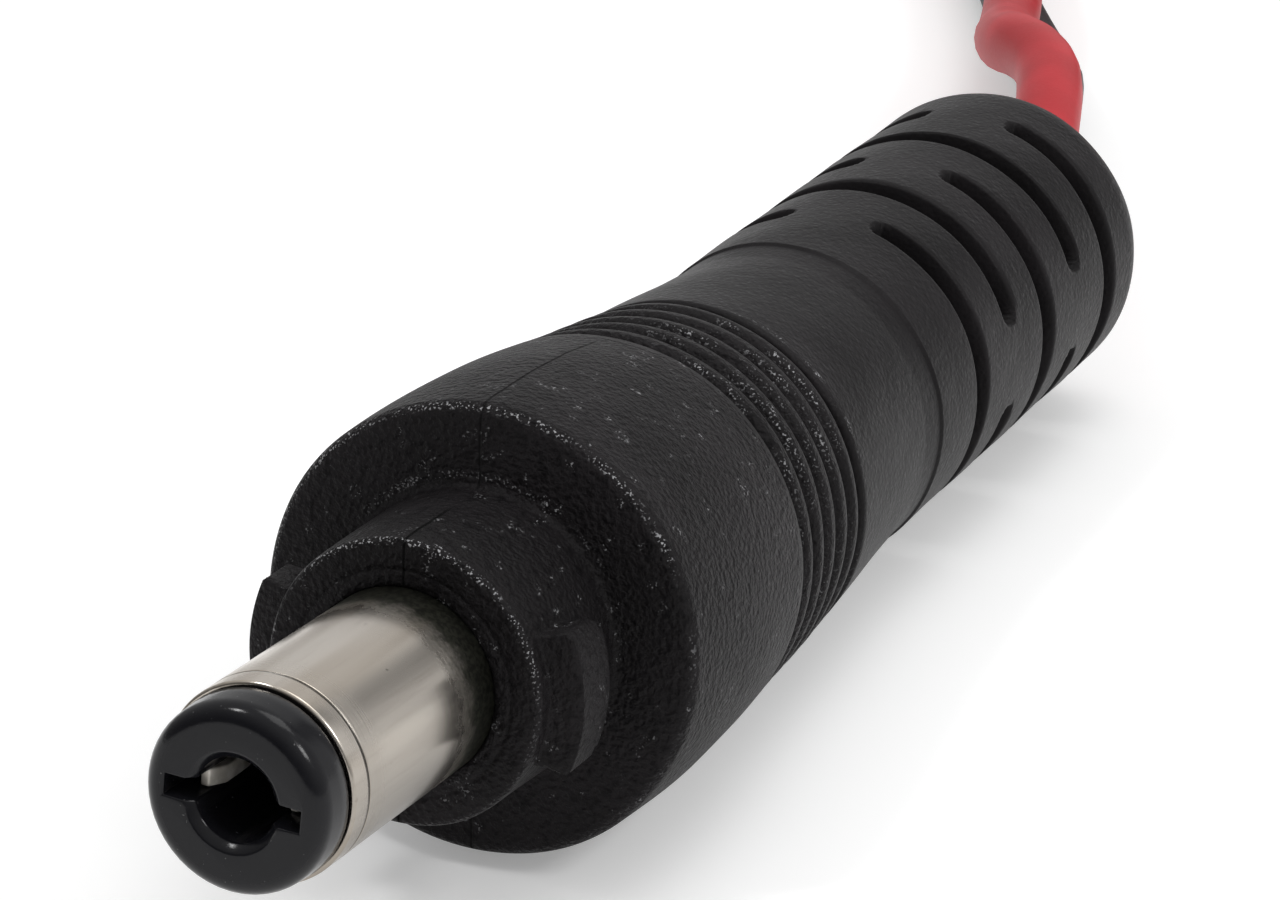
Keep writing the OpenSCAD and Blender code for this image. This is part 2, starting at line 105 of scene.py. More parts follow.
# Radii and widths in millimetres. CONE_SLOPE is the cone's loss of radius along each millimetre.
SLEEVE_R = 2.75
SLEEVE_BORE_R = 2.31
SLEEVE_EDGE = 0.1
COLLAR_FRONT_R = 4.1
COLLAR_REAR_R = 4.22
COLLAR_ROUND = 0.2
ROOT_FILLET = 0.25
BODY_R = 6.7
BODY_ROUND = 0.4
NECK_R = 5.33
RELIEF_R = 5.4
RELIEF_ROUND = 2.2
CONE_SLOPE = (BODY_R - NECK_R) / ((CONE_END - CONE_START) + (CONE_START - CROWN) / 2)
LUG_R = 5.05
LUG_MID_R = 4.6
LUG_HALF_W = 1.95
LUG_CORNER = 0.55
# The plug is bent at its last groove, towards a heading round the axis.
PIVOT = GRIP_END - GRIP_W / 2
BEND = math.radians(4.4)
BEND_HEADING = math.radians(20)


def rotation(axis, angle):
    """Matrix that turns by angle about an axis."""
    return np.array(Matrix.Rotation(angle, 3, Vector(axis)))


TO_REST = rotation((1, 0, 0), -math.pi / 2 - REST_TILT)
BEND_AXIS = (math.cos(BEND_HEADING), math.sin(BEND_HEADING), 0)
BACK = np.array([0, 0, 1])


def to_row(points):
    """Plug points in millimetres (x right, -y up, z back from the tip face) to the row frame in metres."""
    return TIP + points @ TO_REST.T * MM


def bend_back(points, length=1.2):
    """Turns what lies behind the pivot by the bend, eased in over a short length about it."""
    angle = BEND * ease(PIVOT - length / 2, PIVOT + length / 2, points[..., 2])
    axis = np.array(BEND_AXIS)
    arm = points - PIVOT * BACK
    along = (arm @ axis)[..., None] * axis
    flat = arm - along
    cos, sin = np.cos(angle)[..., None], np.sin(angle)[..., None]
    return along + flat * cos + np.cross(axis, flat) * sin + PIVOT * BACK


# ---------------------------------------------------------------- meshes


def smooth_piece(name, mesh):
    """Object at the origin for a finished mesh, shaded smooth."""
    mesh.polygons.foreach_set("use_smooth", np.ones(len(mesh.polygons), bool))
    mesh.update()
    piece = bpy.data.objects.new(name, mesh)
    bpy.context.scene.collection.objects.link(piece)
    return piece


def mesh_piece(name, points, faces, welded=False):
    """Piece with the given points in metres and faces; welded joins the points that coincide."""
    mesh = bpy.data.meshes.new(name)
    mesh.from_pydata(points.tolist(), [], faces.tolist())
    if welded:
        work = bmesh.new()
        work.from_mesh(mesh)
        bmesh.ops.remove_doubles(work, verts=work.verts, dist=1e-7)
        bmesh.ops.recalc_face_normals(work, faces=work.faces)
        work.to_mesh(mesh)
        work.free()
    return smooth_piece(name, mesh)


def quads_over(rows, cols):
    """Corner numbers of the quads over a grid of points, whose last column joins the first."""
    index = np.arange(rows * cols).reshape(rows, cols)
    after = np.roll(index, -1, axis=1)
    return np.stack([index[:-1], index[1:], after[1:], after[:-1]], axis=-1).reshape(-1, 4)


def grid_mesh(name, points):
    """Welded piece over a grid of points, rows by columns, closed round its rows."""
    return mesh_piece(name, points.reshape(-1, 3), quads_over(*points.shape[:2]), welded=True)


def revolve(profile, steps):
    """Points of a profile (radius, station) turned round the plug's axis: radius times cosine and sine."""
    turn = np.linspace(0, 2 * np.pi, steps, endpoint=False)
    radius, station = np.asarray(profile, float).T
    return np.stack([radius[:, None] * np.cos(turn), radius[:, None] * np.sin(turn),
                     np.repeat(station[:, None], steps, axis=1)], axis=-1)


def rounded(cx, cy, r, start, end, steps):
    """Points of an arc about (cx, cy), from one angle to another in degrees."""
    angle = np.radians(np.linspace(start, end, steps))
    return np.stack([cx + r * np.cos(angle), cy + r * np.sin(angle)], axis=-1)


def ease(low, high, value):
    """Smooth step from 0 at low to 1 at high: 3 s^2 - 2 s^3 of the share s between them."""
    share = np.clip((value - low) / (high - low), 0, 1)
    return share * share * (3 - 2 * share)


def softened_node(name, node, width):
    """Copy of a CAD node, its points merged and flat faces joined, then its sharp edges bevelled.

    Edges of more than 30 degrees are cut back by the width, in millimetres.
    """
    work = bmesh.new()
    work.from_mesh(frame["nodes"][node].data)
    bmesh.ops.remove_doubles(work, verts=work.verts, dist=1e-7)
    bmesh.ops.dissolve_limit(work, angle_limit=math.radians(0.6), verts=work.verts, edges=work.edges)
    sharp = [edge for edge in work.edges
             if len(edge.link_faces) == 2 and edge.calc_face_angle(0) > math.radians(30)]
    bmesh.ops.bevel(work, geom=sharp, offset=width * MM, offset_type="OFFSET", segments=2, profile=0.5,
                    affect="EDGES", clamp_overlap=True)
    mesh = bpy.data.meshes.new(name)
    work.to_mesh(mesh)
    work.free()
    piece = smooth_piece(name, mesh)
    mesh.set_sharp_from_angle(angle=math.radians(38))
    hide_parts(node)
    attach(piece, "root")
    return piece


# ---------------------------------------------------------------- lead

# Millimetres. The surface under the plug is at height 0.
CORE_R = 1.25
CORE_OFFSET = 1.2
TURN_PITCH = 2.6
HANK_X, HANK_Y = -8.0, 96.0
RUN_LEN = 53.5
TURN_R = 15.2
LAST_RUN = 16.0
HANK_Z = 2.85
TAIL_LEN = 24.0
TAIL_APART = 4.0
ROUTE = [(0.5, 32, 5.7), (-0.4, 35.5, 6), (-1.5, 39, 6.2), (-2.9, 42.4, 6.2), (-4.4, 45.6, 5.9),
         (-5.8, 49, 5.1), (-7, 52.6, 4.1), (-8.3, 56.4, 3.1), (-9.8, 60.4, 2.6), (-12, 65.5, 2.6),
         (-16.4, 75, 2.6), (-20.4, 84, 2.7), (-22.6, 90.5, 2.8)]
# The pair of cores rolls over by ROLL between the distances ROLL_IN from the plug, and back over ROLL_OUT.
ROLL = math.radians(50)
ROLL_IN = (12, 21)
ROLL_OUT = (27, 44)


def through(points, per_span, first, last):
    """Curve through the points, from a first direction to a last one.

    Each span is a Hermite cubic, whose tangents blend the slopes on both sides by length.
    """
    points = np.asarray(points, float)
    span = np.linalg.norm(np.diff(points, axis=0), axis=1)
    slope = np.diff(points, axis=0) / span[:, None]
    blend = (slope[:-1] * span[1:, None] + slope[1:] * span[:-1, None]) / (span[1:] + span[:-1])[:, None]
    tangent = np.vstack([first, blend, last])
    share = np.linspace(0, 1, per_span, endpoint=False)[None, :, None]
    length = span[:, None, None]
    a, b = points[:-1, None], points[1:, None]
    ta, tb = tangent[:-1, None] * length, tangent[1:, None] * length
    curve = ((2 * share**3 - 3 * share**2 + 1) * a + (share**3 - 2 * share**2 + share) * ta
             + (3 * share**2 - 2 * share**3) * b + (share**3 - share**2) * tb)
    return np.vstack([curve.reshape(-1, 3), points[-1:]])


def flat_arc(cx, cy, r, start, end, steps):
    """Points of a level arc at the hank's height, without its last point."""
    angle = np.radians(np.linspace(start, end, steps, endpoint=False))
    return np.stack([cx + r * np.cos(angle), cy + r * np.sin(angle), np.full(steps, HANK_Z)], axis=-1)


def flat_run(x, y_from, y_to, steps):
    """Points of a straight level run along Y, without its last point."""
    y = np.linspace(y_from, y_to, steps, endpoint=False)
    return np.stack([np.full(steps, x), y, np.full(steps, HANK_Z)], axis=-1)


def hank_path():
    """Two turns and a last run: each near arc steps inwards by the turn pitch."""
    far_y = HANK_Y + RUN_LEN
    parts = []
    for turn in range(2):
        r = TURN_R - turn * TURN_PITCH
        parts += [flat_run(HANK_X - r, HANK_Y, far_y, 30), flat_arc(HANK_X, far_y, r, 180, 0, 36),
                  flat_run(HANK_X + r, far_y, HANK_Y, 30),
                  flat_arc(HANK_X + TURN_PITCH / 2, HANK_Y, r - TURN_PITCH / 2, 0, -180, 36)]
    parts.append(flat_run(HANK_X - TURN_R + 2 * TURN_PITCH, HANK_Y, HANK_Y + LAST_RUN, 12))
    return np.vstack(parts)


bent_back = rotation(BEND_AXIS, BEND) @ BACK
exit_dir = TO_REST @ bent_back
exit_point = TIP / MM + TO_REST @ (PIVOT * BACK + (PLUG_END - PIVOT) * bent_back)
free_run = through([exit_point] + ROUTE + [(HANK_X - TURN_R, HANK_Y, HANK_Z)], 9, exit_dir, (0, 1, 0))
twin = np.vstack([free_run[:-1], hank_path()])
split = np.array([HANK_X - TURN_R + 2 * TURN_PITCH, HANK_Y + LAST_RUN, HANK_Z])
quarter = TAIL_LEN / 4
red_tail = through([split + (0, 0, CORE_OFFSET),
                    split + (0.25 * TAIL_APART, quarter, CORE_OFFSET - 0.3),
                    (split[0] + 0.65 * TAIL_APART, split[1] + 2 * quarter, 2.4),
                    (split[0] + 0.9 * TAIL_APART, split[1] + 3 * quarter, CORE_R + 0.2),
                    (split[0] + TAIL_APART, split[1] + TAIL_LEN, CORE_R)], 6, (0, 1, 0), (0, 1, 0))
black_tail = through([split - (0, 0, CORE_OFFSET),
                      (split[0], split[1] + 2 * quarter, CORE_R + 0.1),
                      (split[0], split[1] + TAIL_LEN, CORE_R)], 12, (0, 1, 0), (0, 1, 0))


def across_path(path):
    """Unit vectors to the side (ahead x Z) and up (side x ahead) along a path that never stands upright."""
    ahead = np.gradient(path, axis=0)
    ahead /= np.linalg.norm(ahead, axis=1)[:, None]
    side = np.cross(ahead, (0, 0, 1))
    side /= np.linalg.norm(side, axis=1)[:, None]
    return side, np.cross(side, ahead)


def lifted(path, offset):
    """The path moved by an offset along its upward normal, which leans over by the roll near the plug."""
    side, up = across_path(path)
    gone = np.concatenate([[0], np.cumsum(np.linalg.norm(np.diff(path, axis=0), axis=1))])
    roll = (ROLL * ease(*ROLL_IN, gone) * (1 - ease(*ROLL_OUT, gone)))[:, None]
    return path + offset * (up * np.cos(roll) - side * np.sin(roll))


def tube(path, radius, sides):
    """Rings of a round tube along a path, in metres, closed at both ends: side x cosine + up x sine."""
    side, up = across_path(path)
    turn = np.linspace(0, 2 * np.pi, sides, endpoint=False)[None, :, None]
    ring = radius * (side[:, None] * np.cos(turn) + up[:, None] * np.sin(turn))
    rings = path[:, None] + ring
    start = path[0] + np.stack([ring[0] * share for share in (0, 0.9)])
    end = path[-1] + np.stack([ring[-1] * share for share in (0.9, 0)])
    return np.concatenate([start, rings, end]) * MM


def lead_piece():
    """The whole lead: a red and a black core side by side with their two separated tails, in one mesh."""
    points, faces, black = [], [], []
    for offset, tail in ((CORE_OFFSET, red_tail), (-CORE_OFFSET, black_tail)):
        rings = tube(np.vstack([lifted(twin, offset), tail]), CORE_R, 20)
        faces.append(quads_over(*rings.shape[:2]) + sum(map(len, points)))
        points.append(rings.reshape(-1, 3))
        black.append(np.full(len(points[-1]), float(offset < 0)))
    piece = mesh_piece("twin_lead", np.vstack(points), np.vstack(faces))
    shade = piece.data.attributes.new("black_core", "FLOAT", "POINT")
    shade.data.foreach_set("value", np.concatenate(black))
    return piece


tie = softened_node("tie", "hank_tie", 0.15)
lead = lead_piece()
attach(lead, "root")
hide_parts("cord_run", "cord_hank", "red_tail", "black_tail")
(exit_point * MM).tolist()

# ---------------------------------------------------------------- shader maths


class Value:
    """A shader number: Python operators on it add Math nodes."""

    def __init__(self, tree, socket):
        self.tree = tree
        self.socket = socket

    def math(self, operation, *others):
        """One Math node, with this number first."""
        made = self.tree.node("Math", {"operation": operation}, self.socket, *others)
        return Value(self.tree, made.outputs[0])

    def __add__(self, other):
        return self.math("ADD", other)

    def __sub__(self, other):
        return self.math("SUBTRACT", other)

    def __mul__(self, other):
        return self.math("MULTIPLY", other)

    def __truediv__(self, other):
        return self.math("DIVIDE", other)

    def __rsub__(self, other):
        made = self.tree.node("Math", {"operation": "SUBTRACT"}, other, self.socket)
        return Value(self.tree, made.outputs[0])

    def __neg__(self):
        return self * -1

    def __pow__(self, other):
        return self.math("POWER", other)

    def __abs__(self):
        return self.math("ABSOLUTE")

    __radd__ = __add__
    __rmul__ = __mul__

    def upper(self, other):
        """The larger of two numbers."""
        return self.math("MAXIMUM", other)

    def ease(self, low, high, start=0.0, end=1.0):
        """Smooth step from start at low to end at high."""
        made = self.tree.node("MapRange", {"interpolation_type": "SMOOTHSTEP"},
                              self.socket, low, high, start, end)
        return Value(self.tree, made.outputs[0])


class Tree:
    """A node tree: node() adds any node, parts() splits a vector and mix() blends two colours."""

    def __init__(self, nodes_of):
        nodes_of.use_nodes = True
        self.tree = nodes_of.node_tree

    def feed(self, socket, value):
        """Sets or links one input socket."""
        if isinstance(value, Value):
            value = value.socket
        if isinstance(value, bpy.types.NodeSocket):
            self.tree.links.new(value, socket)
        else:
            socket.default_value = value

    def node(self, kind, settings=None, *inputs, **named):
        """Adds a node: its settings first, then its inputs in order, then its inputs by name."""
        made = self.tree.nodes.new("ShaderNode" + kind)
        for key, value in (settings or {}).items():
            setattr(made, key, value)
        for socket, value in zip(made.inputs, inputs):
            if value is not None:
                self.feed(socket, value)
        for key, value in named.items():
            self.feed(made.inputs[key.replace("_", " ")], value)
        return made

    def parts(self, vector):
        """The three numbers of a vector."""
        made = self.node("SeparateXYZ", None, vector)
        return [Value(self, made.outputs[axis]) for axis in range(3)]

    def mix(self, share, one, other):
        """Colour between two colours. Inputs 6 and 7 and output 2 are the Mix node's colour sockets."""
        made = self.node("Mix", {"data_type": "RGBA"})
        self.feed(made.inputs["Factor"], share)
        self.feed(made.inputs[6], one)
        self.feed(made.inputs[7], other)
        return made.outputs[2]


class Finish(Tree):
    """A material with its shader's fixed sockets given by name. Its places and sizes are in millimetres."""

    def __init__(self, name, fixed):
        self.material = bpy.data.materials.new(name)
        super().__init__(self.material)
        self.shader = self.tree.nodes["Principled BSDF"]
        for socket, value in fixed.items():
            self.shader.inputs[socket].default_value = value
        metres = self.node("TexCoord").outputs["Object"]
        self.place = self.node("VectorMath", {"operation": "SCALE"}, metres, Scale=1 / MM).outputs[0]

    def noise(self, size, detail=2.0, roughness=0.5, place=None, stretch=None):
        """Noise with features of the given size; stretch scales its coordinates along X, Y and Z."""
        place = self.place if place is None else place
        if stretch is not None:
            place = self.node("VectorMath", {"operation": "MULTIPLY"}, place, stretch).outputs[0]
        made = self.node("TexNoise", None, Vector=place, Scale=1 / size, Detail=detail,
                         Roughness=roughness)
        return Value(self, made.outputs[0])

    def cells(self, size):
        """Smooth cells of the given size, 0 in the middle of each."""
        made = self.node("TexVoronoi", {"feature": "SMOOTH_F1"}, Vector=self.place, Scale=1 / size,
                         Smoothness=1.0)
        return Value(self, made.outputs["Distance"])

    def bump(self, height, depth, strength=1.0):
        """Normal of a height given as shares of a depth."""
        made = self.node("Bump", None, Strength=strength, Distance=depth * MM, Height=height)
        self.tree.links.new(made.outputs[0], self.shader.inputs["Normal"])

    def set(self, **values):
        """Links or sets the shader's own sockets, named with _ for a space."""
        for key, value in values.items():
            self.feed(self.shader.inputs[key.replace("_", " ")], value)

    def plug_place(self):
        """Object coordinates turned into the plug's own frame: x right, -y up, z back from the tip face."""
        return self.node("Mapping", {"vector_type": "TEXTURE"}, Vector=self.place,
                         Location=(TIP / MM).tolist(), Rotation=(-math.pi / 2 - REST_TILT, 0, 0)).outputs[0]


def rgb(red, green, blue):
    """Opaque colour."""
    return (red, green, blue, 1.0)


# ---------------------------------------------------------------- moulding

COLUMNS = 256
RIB_DOME = 0.12


def body_radius(station):
    """Radius of the body: a crown parabola, then a straight cone."""
    cone_r = BODY_R - (CONE_START - CROWN) * CONE_SLOPE / 2
    crown = BODY_R - (station - CROWN) ** 2 * CONE_SLOPE / (2 * (CONE_START - CROWN))
    return np.where(station < CONE_START, crown, cone_r - (station - CONE_START) * CONE_SLOPE)


def collar_radius(station):
    """Radius of the collar, which widens evenly to the rear."""
    share = (station - COLLAR_FACE) / (BODY_FRONT - COLLAR_FACE)
    return COLLAR_FRONT_R + (COLLAR_REAR_R - COLLAR_FRONT_R) * share


def grip_rows():
    """Grooves whose depth is the square root of a sine across them, and ribs domed by a sine."""
    share = np.array([0.04, 0.08, 0.13, 0.2, 0.28, 0.36, 0.42, 0.46, 0.5, 0.6, 0.72, 0.84, 0.94])
    groove = GRIP_W / GRIP_PITCH
    in_groove = np.sin(np.pi * np.minimum(share / groove, 1)) ** 0.5
    on_rib = 1 - np.sin(np.pi * np.clip((share - groove) / (1 - groove), 0, 1))
    cut = GRIP_DEPTH * np.where(share < groove, in_groove, RIB_DOME * on_rib)
    rows = []
    for count in range(GRIP_COUNT):
        keep = share < groove + 0.02 if count == GRIP_COUNT - 1 else share < 1
        station = GRIP_START + (count + share[keep]) * GRIP_PITCH
        rows.append(np.stack([body_radius(station) - cut[keep], station], axis=-1))
    return np.vstack(rows)


def straight_rows(stations, radius):
    """Rows of a straight or sloping side, the radius given as a function or a number."""
    stations = np.asarray(stations, float)
    side = radius(stations) if callable(radius) else np.full(len(stations), radius)
    return np.stack([side, stations], axis=-1)


def around_edges(edges, start, end, wide):
    """Stations from start to end, wide apart, with close rows on both sides of each edge."""
    close = np.array([-0.14, -0.09, -0.05, -0.01, 0.03, 0.07, 0.12])
    least_gap = 0.09
    dense = np.concatenate([edge + close for edge in edges])
    coarse = np.arange(start, end, wide)
    coarse = coarse[np.min(np.abs(coarse[:, None] - dense), axis=1) > least_gap]
    stations = np.sort(np.concatenate([dense, coarse]))
    return stations[(stations >= start) & (stations < end)]


def moulding_rows():
    """Profile of the moulding, from the sleeve's hole over the collar, body and relief to the rear."""
    ring_edges = [RING_START + ring * RING_PITCH + side * RING_W / 2
                  for ring in range(RING_COUNT) for side in (-1, 1)]
    hole = [(0, 1), (SLEEVE_R - 0.03, 1), (SLEEVE_R - 0.03, 0.12), (SLEEVE_R + 0.03, 0.02)]
    face = [(2.86, 0), (3.0, -0.01), (3.12, 0), (3.2, 0.01), (3.25, 0.05), (3.3, 0.01), (3.38, 0),
            (3.5, 0), (3.7, 0)]
    round_at = float(body_radius(np.array(BODY_FRONT + BODY_ROUND))) - BODY_ROUND
    return np.vstack([
        [(radius, COLLAR_FACE + deep) for radius, deep in hole + face],
        rounded(COLLAR_FRONT_R - COLLAR_ROUND, COLLAR_FACE + COLLAR_ROUND, COLLAR_ROUND, -90, 0, 7),
        straight_rows(around_edges([LUG_FROM, LUG_TO], COLLAR_FACE + 0.3, BODY_FRONT - 0.3, 0.16),
                      collar_radius),
        rounded(COLLAR_REAR_R + ROOT_FILLET - 0.01, BODY_FRONT - ROOT_FILLET, ROOT_FILLET, 180, 90, 6),
        [(radius, BODY_FRONT) for radius in (4.7, 5.0, 5.35, 5.7, 5.95)],
        rounded(round_at, BODY_FRONT + BODY_ROUND, BODY_ROUND, -90, -4, 9),
        straight_rows(np.linspace(BODY_FRONT + BODY_ROUND + 0.15, GRIP_START, 30), body_radius),
        grip_rows(),
        straight_rows(np.linspace(GRIP_END + 0.05, CONE_END - 0.3, 18), body_radius),
        straight_rows([CONE_END - 0.12, CONE_END, CONE_END + 0.2], NECK_R),
        straight_rows([RELIEF_START - 0.35, RELIEF_START - 0.16, RELIEF_START - 0.06], NECK_R),
        straight_rows([RELIEF_START, RELIEF_START + 0.07, RELIEF_START + 0.18], RELIEF_R),
        straight_rows(around_edges(ring_edges, RELIEF_START + 0.4, PLUG_END - RELIEF_ROUND - 0.05, 0.24),
                      RELIEF_R),
        rounded(RELIEF_R - RELIEF_ROUND, PLUG_END - RELIEF_ROUND, RELIEF_ROUND, 0, 88, 16),
        [(radius, PLUG_END) for radius in (2.9, 2.2, 1.2, 0)]])


def slot_depth(station, turn):
    """Depth of the strain relief's slots: round-ended channels, turned a quarter from ring to ring.

    It eases by the distance from each channel's middle arc.
    """
    depth = np.zeros(np.broadcast(station, turn).shape)
    for ring in range(RING_COUNT):
        for half in (0, np.pi):
            middle = half + (np.pi / 2 if ring % 2 else 0)
            off = np.abs((turn - middle + np.pi) % (2 * np.pi) - np.pi)
            beyond = np.maximum(off - RING_SPAN / 2, 0) * RELIEF_R
            away = np.hypot(station - RING_START - ring * RING_PITCH, beyond)
            depth = np.maximum(depth, 1 - ease(RING_W / 2 - 0.07, RING_W / 2 + 0.09, away))
    return RING_DEPTH * depth


def lug_height(station, turn):
    """Share of a lug's height: a block with round rear corners on each side of the collar.

    It eases from 0 to 1 across the block's outline, as seen from the side.
    """
    across = np.abs(LUG_MID_R * np.sin(turn))
    u = across - (LUG_HALF_W - LUG_CORNER)
    v = station - (LUG_TO - LUG_CORNER)
    rear = np.hypot(np.maximum(u, 0), np.maximum(v, 0)) + np.minimum(np.maximum(u, v), 0) - LUG_CORNER
    front = np.maximum(across - LUG_HALF_W, LUG_FROM - station)
    away = np.maximum(rear, front)
    return 1 - ease(-0.12, 0.08, away)


def moulding_piece():
    """One closed surface turned from the moulding's profile, with lugs raised and slots sunk.

    Two faint waves make it slightly uneven outside the sleeve's hole, and it is bent at the last groove.
    """
    rows = moulding_rows()
    points = revolve(rows, COLUMNS)
    turn = np.linspace(0, 2 * np.pi, COLUMNS, endpoint=False)[None, :]
    radius, station = rows[:, 0][:, None], rows[:, 1][:, None]
    on_collar = ((station > COLLAR_FACE + 0.25) & (station < BODY_FRONT - 0.3)).astype(float)
    on_relief = ease(RELIEF_START, RELIEF_START + 0.3, station)
    sway = 0.012 * np.sin(3 * turn + station * 0.7) + 0.01 * np.sin(7 * turn - station * 1.3)
    sway = sway * ease(3.2, 4.5, radius)
    tall = radius + (LUG_R - radius) * lug_height(station, turn) * on_collar
    tall = tall - slot_depth(station, turn) * on_relief + sway
    scale = np.where(radius > 0.5, tall / np.maximum(radius, 0.5), 1)
    points[..., :2] *= scale[..., None]
    piece = grid_mesh("moulding", to_row(bend_back(points)))
    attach(piece, "root")
    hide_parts("overmould")
    return piece


# ---------------------------------------------------------------- sleeve


def sleeve_piece():
    """Tube turned from a profile of its bore, rounded rim, fine turned line and side."""
    line = [(0, -0.1), (0, -0.025), (-0.02, -0.02), (-0.02, 0.02), (0, 0.025), (0, 0.1)]
    profile = np.vstack([
        [(SLEEVE_BORE_R, SLEEVE_REAR), (SLEEVE_BORE_R, SLEEVE_FRONT + 0.3),
         (SLEEVE_BORE_R + 0.02, SLEEVE_FRONT + 0.05)],
        [(radius, SLEEVE_FRONT) for radius in (SLEEVE_BORE_R + 0.07, 2.5, 2.6)],
        rounded(SLEEVE_R - SLEEVE_EDGE, SLEEVE_FRONT + SLEEVE_EDGE, SLEEVE_EDGE, -90, 0, 7),
        [(SLEEVE_R + out, TURNED_LINE + along) for out, along in line],
        straight_rows(np.linspace(TURNED_LINE + 0.55, COLLAR_FACE + 0.4, 16), SLEEVE_R),
        [(SLEEVE_R - 0.06, SLEEVE_REAR), (SLEEVE_BORE_R, SLEEVE_REAR)]])
    piece = grid_mesh("barrel", to_row(revolve(profile, 160)))
    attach(piece, "root")
    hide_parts("barrel_sleeve")
    return piece


moulding = moulding_piece()
barrel = sleeve_piece()
tip = softened_node("tip", "tip_insulator", 0.045)
contact = softened_node("contact", "contact_fork", 0.05)

# ---------------------------------------------------------------- finishes

# Ring edges of the moulding that get painted glints: radius and station in millimetres.
COLLAR_EDGE = (COLLAR_FRONT_R - 0.05, COLLAR_FACE + 0.05)
COLLAR_ROOT = (COLLAR_REAR_R + 0.35, BODY_FRONT - 0.02)
BODY_EDGE = (6.52, BODY_FRONT + 0.12)


def near_edge(radius, z, edge):
    """1 on a ring edge, falling to 0 at 0.17 mm from it."""
    away = ((radius - edge[0]) ** 2 + (z - edge[1]) ** 2) ** 0.5
    return 1 - away.ease(0.04, 0.17)


def painted_rim_glints(radius, z, above):
    """Where painted glints (pale specks) fall on the collar's edge, the body's edge and the root between
    them, most of all on top where the lamps catch them.
    """
    rim = near_edge(radius, z, COLLAR_EDGE)
    rim = rim.upper(near_edge(radius, z, BODY_EDGE)) * above.ease(-0.1, 0.5, 0.15, 1.0)
    return rim.upper(near_edge(radius, z, COLLAR_ROOT) * above.ease(0.4, 0.9) * 0.4)


def rib_edges(z):
    """1 on the front edge of each rib of the grip."""
    cycle = ((z - GRIP_START) / GRIP_PITCH).math("FRACT")
    in_grip = z.ease(GRIP_START - 0.1, GRIP_START) * (1 - z.ease(GRIP_END + 0.175, GRIP_END + 0.375))
    return in_grip * (cycle.ease(0.44, 0.54) * (1 - cycle.ease(0.56, 0.7)))


def parting_line(finish, x, z):
    """The moulding's fine, wavering parting line: 1 over and under the collar's front, 0.6 on the body."""
    off_line = abs(x + (finish.noise(1.2) - 0.5) * 0.12)
    on_collar = 1 - z.ease(LUG_TO - 0.25, LUG_TO + 0.75)
    on_body = z.ease(BODY_FRONT - 0.2, BODY_FRONT - 0.05) * 0.6
    run = on_collar.upper(on_body) * (1 - z.ease(CONE_START - 0.7, GRIP_START + 0.45))
    return (1 - off_line.ease(0.01, 0.06)) * run


def black_pvc():
    """Leathery soft plastic: dents and painted glints (pale specks on the rims, rib edges and front,
    weighted to the lit top and upper right) at the front, fine and smooth behind the grip.
    """
    finish = Finish("black_pvc", {"Base Color": rgb(0.012, 0.011, 0.012), "Roughness": 0.45, "IOR": 1.48,
                                  "Specular IOR Level": 0.095})
    x, y, z = finish.parts(finish.plug_place())
    radius = (x * x + y * y) ** 0.5
    above = -y / radius
    upper_right = ((x - y * 1.4) / (radius * 1.72)).ease(0.8, 0.97)
    rear = z.ease(GRIP_START, GRIP_START + 8)
    front = 1 - rear
    dents = finish.cells(0.2)
    grain = finish.noise(0.13)
    soft = finish.noise(1.1, 3.0)
    patch = finish.noise(1.6)
    seam = parting_line(finish, x, z)
    # Painted highlight: pale specks stand in for glints of light on the rims, the rib edges and the front,
    # weighted to the lit top and upper right.
    glint_mask = painted_rim_glints(radius, z, above) * patch.ease(0.3, 0.55)
    glint_mask = glint_mask.upper(rib_edges(z) * (upper_right * 0.8 + 0.1) * patch.ease(0.4, 0.6))
    glint_mask = glint_mask.upper(front * finish.noise(0.6).ease(0.6, 0.72) * (upper_right * 0.4 + 0.4))
    glint_specks = finish.noise(0.08, 1.0).ease(0.58, 0.66) * glint_mask
    tint = finish.noise(4.0, 3.0).ease(0.35, 0.7)
    base = finish.mix(tint, rgb(0.0102, 0.0092, 0.0098), rgb(0.0150, 0.0133, 0.0144))
    base = finish.mix(dents.ease(0.45, 0.75) * front * 0.7, base, rgb(0.004, 0.0035, 0.004))
    # Painted highlight: the pale grey that the glint specks are mixed to.
    base = finish.mix(glint_specks, base, rgb(0.36, 0.36, 0.37))
    finish.set(Base_Color=finish.mix(seam * 0.9, base, rgb(0.001, 0.001, 0.001)))
    finish.set(Roughness=0.45 - grain.ease(0.5, 0.8) * 0.12 + soft * 0.08 - rear * 0.05 + seam * 0.4)
    finish.bump(dents * (0.2 + front * 0.6) + grain * (0.2 + front * 0.8) + soft * 0.3 - seam * 0.8, 0.09)
    return finish.material


